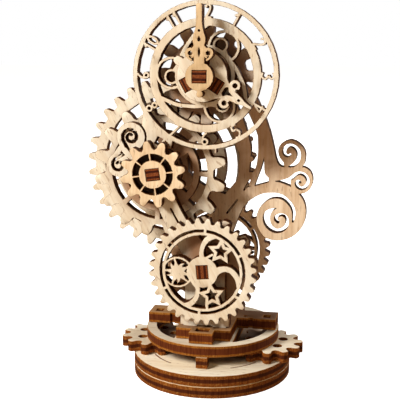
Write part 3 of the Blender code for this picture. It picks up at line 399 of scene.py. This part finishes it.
# %% [markdown]
# ### Painted shade
#
# Deep between the sheets the wood lies in shade, and that shade is painted into its colour: the
# wood near a hub is painted brown, and so is the top of the base under the ring. The painted
# shade could be put on each mesh, but a mask in the material needs no points in the middle of a
# flat
# face. It is round, about one place: the distance to it across the sheet is disturbed by a noise
# and put through a soft ramp. Across is 1 along the two directions in which the sheet lies.

# %% Build the painted shade group
DRIFT_PER_METRE = (260.0, 260.0, 260.0)
DRIFT = 1.2
WHOLE_FADE = 1.6

shade_group, shade_in, shade_out = new_group(
    "painted_shade",
    [("NodeSocketVector", "Vector", None),
     ("NodeSocketColor", "Wood", (0.8, 0.6, 0.4, 1.0)),
     ("NodeSocketColor", "Shade Tint", (0.20, 0.09, 0.04, 1.0)),
     ("NodeSocketVector", "Hub", (0.0, 0.0, 0.0)),
     ("NodeSocketVector", "Across", (1.0, 0.0, 1.0)),
     ("NodeSocketFloat", "Radius", 0.01),
     ("NodeSocketFloat", "Fade", 0.004),
     ("NodeSocketFloat", "Strength", 0.7)],
    [("NodeSocketColor", "Color")])
from_hub = vector_node(shade_group, "SUBTRACT", shade_in.outputs["Vector"], shade_in.outputs["Hub"])
reach = vector_node(shade_group, "LENGTH", vector_node(
    shade_group, "MULTIPLY", from_hub, shade_in.outputs["Across"]))
drift = stretched_noise(shade_group, shade_in.outputs["Vector"], DRIFT_PER_METRE, 3.0)
outward = math_node(shade_group, "SUBTRACT", reach, shade_in.outputs["Radius"])
outward = math_node(shade_group, "DIVIDE", outward, shade_in.outputs["Fade"])
outward = math_node(shade_group, "ADD", outward, math_node(shade_group, "MULTIPLY", drift, DRIFT))
shade = math_node(shade_group, "SUBTRACT", 1.0, ramp_between(shade_group, outward, 0.0, WHOLE_FADE))
shade = math_node(shade_group, "MULTIPLY", shade, shade_in.outputs["Strength"])
shaded = blend_colour(shade_group, shade, shade_in.outputs["Wood"], shade_in.outputs["Shade Tint"])
shade_group.links.new(shaded, shade_out.inputs["Color"])
print("painted_shade:", len(shade_group.nodes), "nodes")

# %% [markdown]
# ### Engraved lines
#
# Two thin arcs are engraved in the top of the base, one on each side of its front. They are only
# a scorch without depth, so they are a mask and not a groove. An arc is the product of two
# masks: the distance to the middle of the disc is close to the arc's radius, and the direction
# from there is close to the arc's own.

# %% Build the engraving group
LEVEL = (1.0, 1.0, 0.0)

engraving, engraving_in, engraving_out = new_group(
    "engraved_arc",
    [("NodeSocketVector", "Vector", None),
     ("NodeSocketColor", "Wood", (0.8, 0.6, 0.4, 1.0)),
     ("NodeSocketColor", "Line", (0.20, 0.085, 0.035, 1.0)),
     ("NodeSocketVector", "Direction", (0.0, -1.0, 0.0)),
     ("NodeSocketFloat", "Radius", 0.016),
     ("NodeSocketFloat", "Width", 0.0004),
     ("NodeSocketFloat", "Narrowness", 0.97)],
    [("NodeSocketColor", "Color")])
level = vector_node(engraving, "MULTIPLY", engraving_in.outputs["Vector"], LEVEL)
alignment = vector_node(engraving, "DOT_PRODUCT", vector_node(engraving, "NORMALIZE", level),
                        engraving_in.outputs["Direction"])
off_line = math_node(engraving, "ABSOLUTE", math_node(
    engraving, "SUBTRACT", vector_node(engraving, "LENGTH", level),
    engraving_in.outputs["Radius"]))
half_width = math_node(engraving, "MULTIPLY", engraving_in.outputs["Width"], 0.5)
on_line = math_node(engraving, "LESS_THAN", off_line, half_width)
on_side = math_node(engraving, "GREATER_THAN", alignment, engraving_in.outputs["Narrowness"])
engraved = blend_colour(engraving, math_node(engraving, "MULTIPLY", on_line, on_side),
                        engraving_in.outputs["Wood"], engraving_in.outputs["Line"])
engraving.links.new(engraved, engraving_out.inputs["Color"])
print("engraved_arc:", len(engraving.nodes), "nodes")

# %% [markdown]
# ## The finishes
#
# A finish is a material that gives the shared groups their values. Each could be wired by hand in
# the shader editor, but every one needs the same three steps. The shader takes its colour,
# roughness and bumps from one group, a vector lays the pattern along the wood, and the colour
# may pass through further groups, such as painted shade or an engraving.

# %% Helpers for making a finish
RELIEF_DEPTH = 0.04 * MM
RELIEF_STRENGTH = 0.5


def place_on_wood(material):
    """The socket that says where on the piece a point lies."""
    return material.node_tree.nodes["Texture Coordinate"].outputs["Object"]


def add_group(material, group, values):
    """Adds a shared group to a material, with the material's own values."""
    node = material.node_tree.nodes.new("ShaderNodeGroup")
    node.node_tree = group
    for label, value in values.items():
        node.inputs[label].default_value = value
    return node


def new_finish(name, group, values, gloss):
    """A material whose colour, roughness and bumps come from a shared group's node."""
    material = bpy.data.materials.new(name)
    material.use_nodes = True
    tree = material.node_tree
    tree.nodes.new("ShaderNodeTexCoord")
    shader = tree.nodes["Principled BSDF"]
    shader.inputs["Specular IOR Level"].default_value = gloss
    node = add_group(material, group, values)
    bump = tree.nodes.new("ShaderNodeBump")
    bump.inputs["Distance"].default_value = RELIEF_DEPTH
    bump.inputs["Strength"].default_value = RELIEF_STRENGTH
    tree.links.new(node.outputs["Color"], shader.inputs["Base Color"])
    tree.links.new(node.outputs["Roughness"], shader.inputs["Roughness"])
    tree.links.new(node.outputs["Height"], bump.inputs["Height"])
    tree.links.new(bump.outputs["Normal"], shader.inputs["Normal"])
    return material, node


def hand_in(material, node, label, setting, value):
    """Turns or squeezes the place on the wood, and hands it to a group's vector socket."""
    links = material.node_tree.links
    mapping = material.node_tree.nodes.new("ShaderNodeMapping")
    mapping.inputs[setting].default_value = value
    links.new(place_on_wood(material), mapping.inputs["Vector"])
    links.new(mapping.outputs["Vector"], node.inputs[label])


def lay_over(material, group, values):
    """Passes a finish's colour through one more group, such as painted shade or an engraving."""
    links = material.node_tree.links
    base_colour = material.node_tree.nodes["Principled BSDF"].inputs["Base Color"]
    node = add_group(material, group, values)
    links.new(base_colour.links[0].from_socket, node.inputs["Wood"])
    links.new(place_on_wood(material), node.inputs["Vector"])
    links.new(node.outputs["Color"], base_colour)


# %% [markdown]
# ### The faces
#
# The faces nearest the light are cream. The minute hand and the small front wheel are warmer
# sheets, the pad on the base is brown, and the plate at the back is painted browner towards its
# top, where the sheets in front shade it.
# One birch for all would be shorter, but each sheet of the photograph has its own tone, so each
# gets its own pair of colours, for the light early wood and the darker late wood. The grain
# stands upright in the plates, leans in the wheels and runs from left to right in the base.

# %% Name the woods, the painted shades and the ways of the grain
CREAM = ((0.88, 0.80, 0.64), (0.76, 0.62, 0.43))
AMBER = ((0.94, 0.77, 0.53), (0.76, 0.53, 0.30))
HONEY = ((0.76, 0.55, 0.31), (0.58, 0.38, 0.18))
TAN = ((0.97, 0.79, 0.57), (0.72, 0.50, 0.30))
NUT = ((0.88, 0.66, 0.45), (0.64, 0.43, 0.25))
BROWN = ((0.40, 0.22, 0.11), (0.24, 0.11, 0.05))
PAD_BROWN = ((0.46, 0.255, 0.11), (0.30, 0.145, 0.06))
# The tints of painted shade, which darken the wood where it lies in shade between the sheets.
DEEP_SHADE = (0.060, 0.022, 0.010)
SHADE_BROWN = (0.31, 0.130, 0.043)
SHADE = (0.11, 0.045, 0.018)
PAD_SHADE = (0.10, 0.040, 0.018)
COLUMN_SHADE = (0.45, 0.235, 0.115)

UPRIGHT = (0.0, 0.0, 0.0)
LEANING = (0.0, math.radians(28), 0.0)
SIDEWAYS = (0.0, math.radians(90), 0.0)
STANDING_SHEET = (1.0, 0.0, 1.0)
FLAT_SHEET = (1.0, 1.0, 0.0)

# %% Helpers for the faces
FACE_GLOSS = 0.30


def hub_of(node):
    """The middle of a round part, which is where its axle runs."""
    low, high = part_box(node)
    return (Vector(low) + Vector(high)) / 2


def shade_at(hub, radius, fade, strength, tint=SHADE_BROWN):
    """The values of one pool of painted shade, with its radius and its fade in millimetres."""
    return {"Hub": hub, "Radius": radius * MM, "Fade": fade * MM, "Strength": strength,
            "Shade Tint": (*tint, 1.0)}


def face_finish(name, wood, grain, figure=1.0, shades=(), across=STANDING_SHEET):
    """Bare birch. grain is the turn that lays the pattern's Z along the wood."""
    early, late = wood
    values = {"Early Wood": (*early, 1.0), "Late Wood": (*late, 1.0), "Figure": figure}
    material, veneer = new_finish(name, birch, values, FACE_GLOSS)
    hand_in(material, veneer, "Vector", "Rotation", grain)
    # Each pool of painted shade darkens the colour where the sheet lies in shade.
    for shade in shades:
        lay_over(material, shade_group, {**shade, "Across": across})
    return material


# %% Mix the faces of the plates and wheels
drive_hub = hub_of("drive_axle")
centre_hub = hub_of("centre_axle")
hand_hub = hub_of("minute_axle")
behind_gear = drive_hub + Vector((3 * MM, 0, 5 * MM))
column_top = Vector((-4 * MM, 0, 76 * MM))

# Painted shade: the front plate is darkened behind the drive gear, nearly black round the centre
# axle and brown round the hands' axle, where the wheels in front shade it.
cream_plate = face_finish("cream_birch_plate", CREAM, UPRIGHT, figure=1.1, shades=[
    shade_at(behind_gear, radius=7.5, fade=2.5, strength=0.90),
    shade_at(centre_hub, radius=6, fade=1, strength=0.95, tint=DEEP_SHADE),
    shade_at(hand_hub, radius=5, fade=2, strength=0.70)])
# Painted shade: the rear plate is darkened towards the top of its column, where the plates in
# front shade it.
tan_plate = face_finish("tan_birch_plate", TAN, UPRIGHT, figure=1.2, shades=[
    shade_at(column_top, radius=27, fade=12, strength=0.72, tint=COLUMN_SHADE)])
cream_gear = face_finish("cream_birch_gear", CREAM, LEANING, figure=1.1)
# Painted shade: each wheel between the plates is darkened towards its hub, where the plates on
# both sides shade it.
drive_wood = face_finish("drive_wheel_birch", CREAM, LEANING, figure=1.1, shades=[
    shade_at(drive_hub, radius=11, fade=3, strength=0.85)])
centre_wood = face_finish("centre_wheel_birch", CREAM, LEANING, figure=1.1, shades=[
    shade_at(centre_hub, radius=11, fade=4, strength=0.85)])
hand_wood = face_finish("hour_wheel_birch", CREAM, LEANING, figure=1.1, shades=[
    shade_at(hand_hub, radius=11, fade=4, strength=0.85)])
nut_wheel = face_finish("nut_birch_wheel", NUT, LEANING, figure=1.2)
brown_wheel = face_finish("brown_birch_wheel", BROWN, LEANING, figure=1.2)
honey_hand = face_finish("honey_birch", HONEY, UPRIGHT)
amber_pinion = face_finish("amber_birch", AMBER, UPRIGHT)
print("face finishes:", [m.name for m in bpy.data.materials if "birch" in m.name])

# %% Mix the faces of the base
ARC_DIRECTIONS = (-134, -48)

# Painted shade: the top of the base, its cogs and its posts are darkened under the ring, and the
# pad's back arm where the plates shade it.
ring_shade = hub_of("base_ring") + Vector((0, 3 * MM, 0))
pad_shade = hub_of("top_pad") + Vector((14 * MM, 8 * MM, 0))
under_ring = [shade_at(ring_shade, radius=16, fade=2, strength=0.88, tint=SHADE)]
on_pad = [shade_at(pad_shade, radius=10, fade=5, strength=0.80, tint=PAD_SHADE)]

cream_ring = face_finish("cream_birch_ring", CREAM, SIDEWAYS, figure=1.2)
cream_base = face_finish(
    "cream_birch_base", CREAM, SIDEWAYS, figure=1.2, shades=under_ring, across=FLAT_SHEET)
brown_pad = face_finish(
    "brown_birch_pad", PAD_BROWN, SIDEWAYS, figure=1.2, shades=on_pad, across=FLAT_SHEET)
engraved_base = face_finish(
    "engraved_birch_base", CREAM, SIDEWAYS, figure=1.2, shades=under_ring, across=FLAT_SHEET)
for compass in ARC_DIRECTIONS:
    angle = math.radians(compass)
    lay_over(engraved_base, engraving, {"Direction": (math.cos(angle), math.sin(angle), 0.0)})
print("arcs at", ARC_DIRECTIONS, "degrees")

# %% [markdown]
# ### The edges
#
# The base meets the light and the camera, and its edges are given orange, gold and red brown.
# Deeper in, the edges are nearly black: their burn is darker, and painted shade darkens it more.
# A painted picture of an edge would have to be fitted to every wall, so all use the one group,
# and differ in three colours, in the number of glued sheets that the stripes repeat for, and in
# how wide the core is.

# %% A helper for burnt edges
LINES_THROUGH_Y = (1.0, 0.1, 1.0)
LINES_THROUGH_Z = (1.0, 1.0, 0.1)
NO_LINES = (1.0, 1.0, 1.0)
EDGE_GLOSS = 0.06


def edge_finish(name, veneer, core, corner, sheets=1.0, core_width=0.19, squeeze=LINES_THROUGH_Y):
    """A burnt edge. core_width is half of the core's share of the sheet."""
    values = {"Veneer": (*veneer, 1.0), "Core": (*core, 1.0), "Corner": (*corner, 1.0),
              "Sheets": sheets, "Core Width": core_width}
    material, burnt = new_finish(name, edge, values, EDGE_GLOSS)
    tree = material.node_tree
    tree.links.new(place_on_wood(material), burnt.inputs["Vector"])
    hand_in(material, burnt, "Lines", "Scale", squeeze)
    through = tree.nodes.new("ShaderNodeAttribute")
    through.attribute_name = "through"
    tree.links.new(through.outputs["Fac"], burnt.inputs["Through"])
    return material


# %% Mix the burnt edges
orange_edge = edge_finish(
    "orange_burnt_edge", (0.235, 0.068, 0.011), (0.080, 0.019, 0.006), (0.42, 0.180, 0.040),
    core_width=0.17, squeeze=LINES_THROUGH_Z)
red_edge = edge_finish(
    "red_burnt_edge", (0.32, 0.110, 0.016), (0.130, 0.031, 0.008), (0.45, 0.20, 0.045),
    core_width=0.30, squeeze=LINES_THROUGH_Z)
# The dark and brown edges are partly painted shade: burnt wood made darker where it lies deep in
# shade.
dark_edge = edge_finish(
    "dark_burnt_edge", (0.15, 0.047, 0.010), (0.040, 0.010, 0.003), (0.27, 0.13, 0.045))
brown_edge = edge_finish(
    "brown_burnt_edge", (0.12, 0.038, 0.010), (0.032, 0.008, 0.003), (0.18, 0.078, 0.028))
stack_edge = edge_finish(
    "stacked_burnt_edge", (0.12, 0.045, 0.015), (0.022, 0.007, 0.004), (0.16, 0.08, 0.04),
    sheets=2.0)
peg_edge = edge_finish(
    "peg_burnt_edge", (0.27, 0.075, 0.022), (0.055, 0.012, 0.005), (0.14, 0.040, 0.014),
    sheets=2.0, core_width=0.22, squeeze=NO_LINES)
print("edge finishes:", [m.name for m in bpy.data.materials if "edge" in m.name])

# %% [markdown]
# ## Cutting the sheets
#
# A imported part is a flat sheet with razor-sharp edges, kept as loose triangles. Drawing every
# tooth and scroll again would risk a shape that differs from it, so each piece starts as a copy
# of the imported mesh, with its doubled corners merged, open in edit mode.

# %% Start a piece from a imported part
SAME_PLACE = 1e-6


def start_piece(node, ending):
    """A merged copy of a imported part's mesh, alone, selected and open in edit mode."""
    bpy.ops.object.select_all(action="DESELECT")
    piece = bpy.data.objects.new(f"{node}_{ending}", nodes[node].data.copy())
    bpy.context.scene.collection.objects.link(piece)
    piece.select_set(True)
    bpy.context.view_layer.objects.active = piece
    bpy.ops.object.mode_set(mode="EDIT")
    bpy.ops.mesh.select_mode(type="VERT")
    bpy.ops.mesh.select_all(action="SELECT")
    bpy.ops.mesh.remove_doubles(threshold=SAME_PLACE)
    return piece


# %% [markdown]
# ### The chamfer
#
# The laser's heat takes the sharp corner off each cut. A bevel by angle would also take the
# corners off each tooth and numeral, so only the edges between a face and a wall are bevelled,
# and the outline stays crisp.

# %% A helper for the chamfer
CHAMFER = 0.06 * MM
FINE_CHAMFER = 0.04 * MM


def chamfer(piece, chosen, width):
    """Bevels the edges that chosen picks by the normals of their two faces."""
    bpy.ops.mesh.select_mode(type="EDGE")
    bpy.ops.mesh.select_all(action="DESELECT")
    work = bmesh.from_edit_mesh(piece.data)
    for border in work.edges:
        normals = [face.normal for face in border.link_faces]
        border.select_set(len(normals) == 2 and chosen(*normals))
    bmesh.update_edit_mesh(piece.data)
    bpy.ops.mesh.bevel(offset=width, offset_type="OFFSET", segments=1, affect="EDGES",
                       clamp_overlap=False)


# %% [markdown]
# ### The flat faces
#
# The bevel moves the corners of a flat face's long thin triangles, and some of them fold over.
# They could be mended one by one, but it is surer to take out each flat face and fill it again
# inside its own borders. A Delaunay fill keeps a plate's many holes apart: a triangle inside an
# odd number of borders is wood, and one inside an even number is a hole.

# %% Helpers that find the borders of a flat face
X, Y, Z = 0, 1, 2


def lies_at(part, axis, level):
    """Whether all corners of an edge or a face are in one plane across an axis."""
    return all(abs(corner.co[axis] - level) < SAME_PLACE for corner in part.verts)


def border_runs(work, axis, level):
    """Walks the open borders in a plane, and returns the corners of each closed run."""
    unused = {side: None for side in work.edges
              if side.is_boundary and lies_at(side, axis, level)}
    runs = []
    while unused:
        side = next(iter(unused))
        del unused[side]
        first, corner = side.verts
        run = [first]
        while corner is not first:
            run.append(corner)
            side = next(other for other in corner.link_edges if other in unused)
            del unused[side]
            corner = side.other_vert(corner)
        runs.append(run)
    return runs


def counter_clockwise(run, across):
    """A run's corners and their places on the plane in millimetres, counter-clockwise."""
    ring = [Vector([corner.co[i] / MM for i in across]) for corner in run]
    if sum(a.cross(b) for a, b in zip(ring, ring[1:] + ring[:1])) < 0:
        return run[::-1], ring[::-1]
    return run, ring


# %% Helpers that fill a flat face again
KEEP_INSIDE = 1
FILL_PRECISION = 1e-6


def fill_border(work, axis, level):
    """Fills the open borders of one flat face with triangles, and leaves its holes open.

    The fill finds a border's inside from its first side, so each starts with its longest one,
    which the bevel can't have folded over.
    """
    across = [i for i in (X, Y, Z) if i != axis]
    corners = []
    flat = []
    loops = []
    for run in border_runs(work, axis, level):
        run, ring = counter_clockwise(run, across)
        sides = [(b - a).length for a, b in zip(ring, ring[1:] + ring[:1])]
        first = sides.index(max(sides))
        loops.append([len(corners) + (first + i) % len(run) for i in range(len(run))])
        corners += run
        flat += ring
    points, _, triangles, sources, _, owners = delaunay_2d_cdt(
        flat, [], loops, KEEP_INSIDE, FILL_PRECISION)
    used = []
    for point, source in zip(points, sources):
        if source:
            used.append(corners[source[0]])
        else:
            place = corners[0].co.copy()
            place[across[0]], place[across[1]] = point * MM
            used.append(work.verts.new(place))
    for triangle, around in zip(triangles, owners):
        places = [used[i] for i in triangle]
        if len(around) % 2 and not work.faces.get(places):
            work.faces.new(places)


def renew_flat_faces(piece, axis, levels):
    """Takes out the flat faces of a sheet, and fills each again inside its border."""
    for level in levels:
        bpy.ops.mesh.select_mode(type="FACE")
        bpy.ops.mesh.select_all(action="DESELECT")
        work = bmesh.from_edit_mesh(piece.data)
        for side in work.faces:
            side.select_set(lies_at(side, axis, level))
        bmesh.update_edit_mesh(piece.data)
        bpy.ops.mesh.delete(type="FACE")
        work = bmesh.from_edit_mesh(piece.data)
        fill_border(work, axis, level)
        bmesh.update_edit_mesh(piece.data)
    bpy.ops.mesh.select_all(action="SELECT")
    bpy.ops.mesh.normals_make_consistent(inside=False)


# %% [markdown]
# ### Dressing a piece
#
# The two faces take the veneer, and the chamfers and walls take the burnt finish. A separate
# piece for each would leave seams, so one mesh has both materials. The curved walls are many
# narrow strips, so they are smoothed by angle, which keeps the chamfers crisp. Then the piece
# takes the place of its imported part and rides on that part's body.

# %% Helpers that dress and cut a sheet
ALONG_SHEET = 0.95
MOSTLY_FLAT = 0.9
SMOOTH_BELOW = math.radians(28)


def span(corners, direction):
    """The lowest and the highest place that a mesh's corners reach along a direction."""
    reach = [corner.co.dot(direction) for corner in corners]
    return min(reach), max(reach)


def mark_through(piece, direction):
    """Writes how far through the sheet each corner lies, from -1 to 1. Returns its thickness."""
    low, high = span(piece.data.vertices, direction)
    mark = piece.data.attributes.new("through", "FLOAT", "POINT")
    for corner, value in zip(piece.data.vertices, mark.data):
        value.value = 2 * (corner.co.dot(direction) - low) / (high - low) - 1
    return high - low


def dress(piece, node, face, wall, direction):
    """Finishes a piece of sheet. direction is the way through the sheet."""
    bpy.ops.object.mode_set(mode="OBJECT")
    piece.data.materials.clear()
    piece.data.materials.append(face)
    piece.data.materials.append(wall)
    for side in piece.data.polygons:
        side.material_index = 0 if abs(side.normal.dot(direction)) > ALONG_SHEET else 1
    thickness = mark_through(piece, direction)
    bpy.ops.object.shade_smooth_by_angle(angle=SMOOTH_BELOW)
    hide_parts(node)
    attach(piece, body_of_node[node])
    print(piece.name, len(piece.data.polygons), "faces,", round(thickness / MM, 2), "mm thick")


def cut_sheet(node, face, wall, axis=Y, width=CHAMFER):
    """A chamfered sheet with a veneer finish on its faces and a burnt one all round."""

    def is_flat(normal):
        return abs(normal[axis]) > MOSTLY_FLAT

    piece = start_piece(node, "ply")
    chamfer(piece, lambda a, b: is_flat(a) != is_flat(b), width)
    renew_flat_faces(piece, axis, [corner[axis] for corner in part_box(node)])
    dress(piece, node, face, wall, Vector([float(i == axis) for i in (X, Y, Z)]))


# %% [markdown]
# ## The base
#
# Two discs make the round foot. A pair of cogs and two small posts lie on it, a ring with a
# bridge lies on those, and a slotted pad on the ring takes the plates. They all lie flat, so
# their thickness is along Z. Their rims face the light and the camera, so their stripes are the
# clearest on the whole clock.

# %% Cut the base
BASE_FINISHES = {
    "base_disc_lower": (cream_base, orange_edge),
    "base_disc_upper": (engraved_base, orange_edge),
    "left_base_cog": (cream_base, orange_edge),
    "right_base_cog": (cream_base, orange_edge),
    "front_post": (cream_base, orange_edge),
    "rear_post": (cream_base, orange_edge),
    "base_ring": (cream_ring, red_edge),
    "top_pad": (brown_pad, red_edge),
}
for node, (face, wall) in BASE_FINISHES.items():
    cut_sheet(node, face, wall, axis=Z)

# %% [markdown]
# ## The plates
#
# The front plate is the dial, its scrolls, an arm and a foot in one sheet. The rear plate is
# the tall curved column with three scrolls. It stands in the shade of everything in front of
# it: its wood is a warm tan, and painted shade makes it browner towards the top. They stand
# up, so their thickness is along Y.

# %% Cut the plates
cut_sheet("front_plate", cream_plate, dark_edge)
cut_sheet("rear_plate", tan_plate, brown_edge)

# %% [markdown]
# ## The wheels and hands
#
# The wheels between the plates and the wheel behind them are the same pale birch. The small
# wheel in front and the minute hand are cut from the warmer sheets. One chamfer could serve
# all, but the twin drive gears and the minute hand are cut more finely, so theirs is narrower.

# %% Cut the wheels and hands
WHEEL_FINISHES = {
    "front_drive_gear": (cream_gear, dark_edge, FINE_CHAMFER),
    "drive_wheel": (drive_wood, dark_edge, CHAMFER),
    "rear_drive_gear": (nut_wheel, brown_edge, FINE_CHAMFER),
    "front_pinion": (amber_pinion, dark_edge, CHAMFER),
    "centre_wheel": (centre_wood, dark_edge, CHAMFER),
    "rear_wheel": (centre_wood, dark_edge, CHAMFER),
    "hour_hand": (cream_gear, dark_edge, CHAMFER),
    "hour_wheel": (hand_wood, dark_edge, CHAMFER),
    "minute_hand": (honey_hand, dark_edge, FINE_CHAMFER),
    "minute_pinion": (hand_wood, dark_edge, CHAMFER),
}
for node, (face, wall, width) in WHEEL_FINISHES.items():
    cut_sheet(node, face, wall, width=width)

# %% [markdown]
# ## The collars
#
# Each collar is two rings of sheet, glued together and pushed on an axle. Two separate rings
# would only show as stripes, so one piece stands for both, and its edge has the stripes of two
# sheets.

# %% Cut the collars
for node in ("drive_collar", "rear_drive_collar", "centre_collar", "minute_collar"):
    cut_sheet(node, brown_wheel, stack_edge)

# %% [markdown]
# ## The axles and slats
#
# An axle is a strip of sheet, so its end shows the plies as stripes. The photographed ends show
# more stripes than three plies give, so here the pattern comes twice. A strip's two broad sides
# are veneer, and its narrow sides and both ends are burnt. The strips are turned about their
# length, so the way through the sheet isn't along X or Z. It could be typed in for each, but
# the mesh knows it: it is the normal of a side along which the strip is thinnest.

# %% A helper for strips
ACROSS_LENGTH = 0.1
SHARP_CORNER = 0.5


def cut_strip(node):
    """A strip of sheet, turned about its length, which runs along Y."""
    piece = start_piece(node, "strip")
    work = bmesh.from_edit_mesh(piece.data)
    sides = [face.normal.copy() for face in work.faces if abs(face.normal.y) < ACROSS_LENGTH]

    def thickness(direction):
        low, high = span(work.verts, direction)
        return round(high - low, 6)

    direction = min(sides, key=thickness)
    chamfer(piece, lambda a, b: a.dot(b) < SHARP_CORNER, CHAMFER)
    dress(piece, node, brown_wheel, peg_edge, direction)


# %% Cut the axles and slats
for node in ("drive_axle", "centre_axle", "minute_axle",
             "hour_slat_1", "hour_slat_2", "hour_slat_3"):
    cut_strip(node)
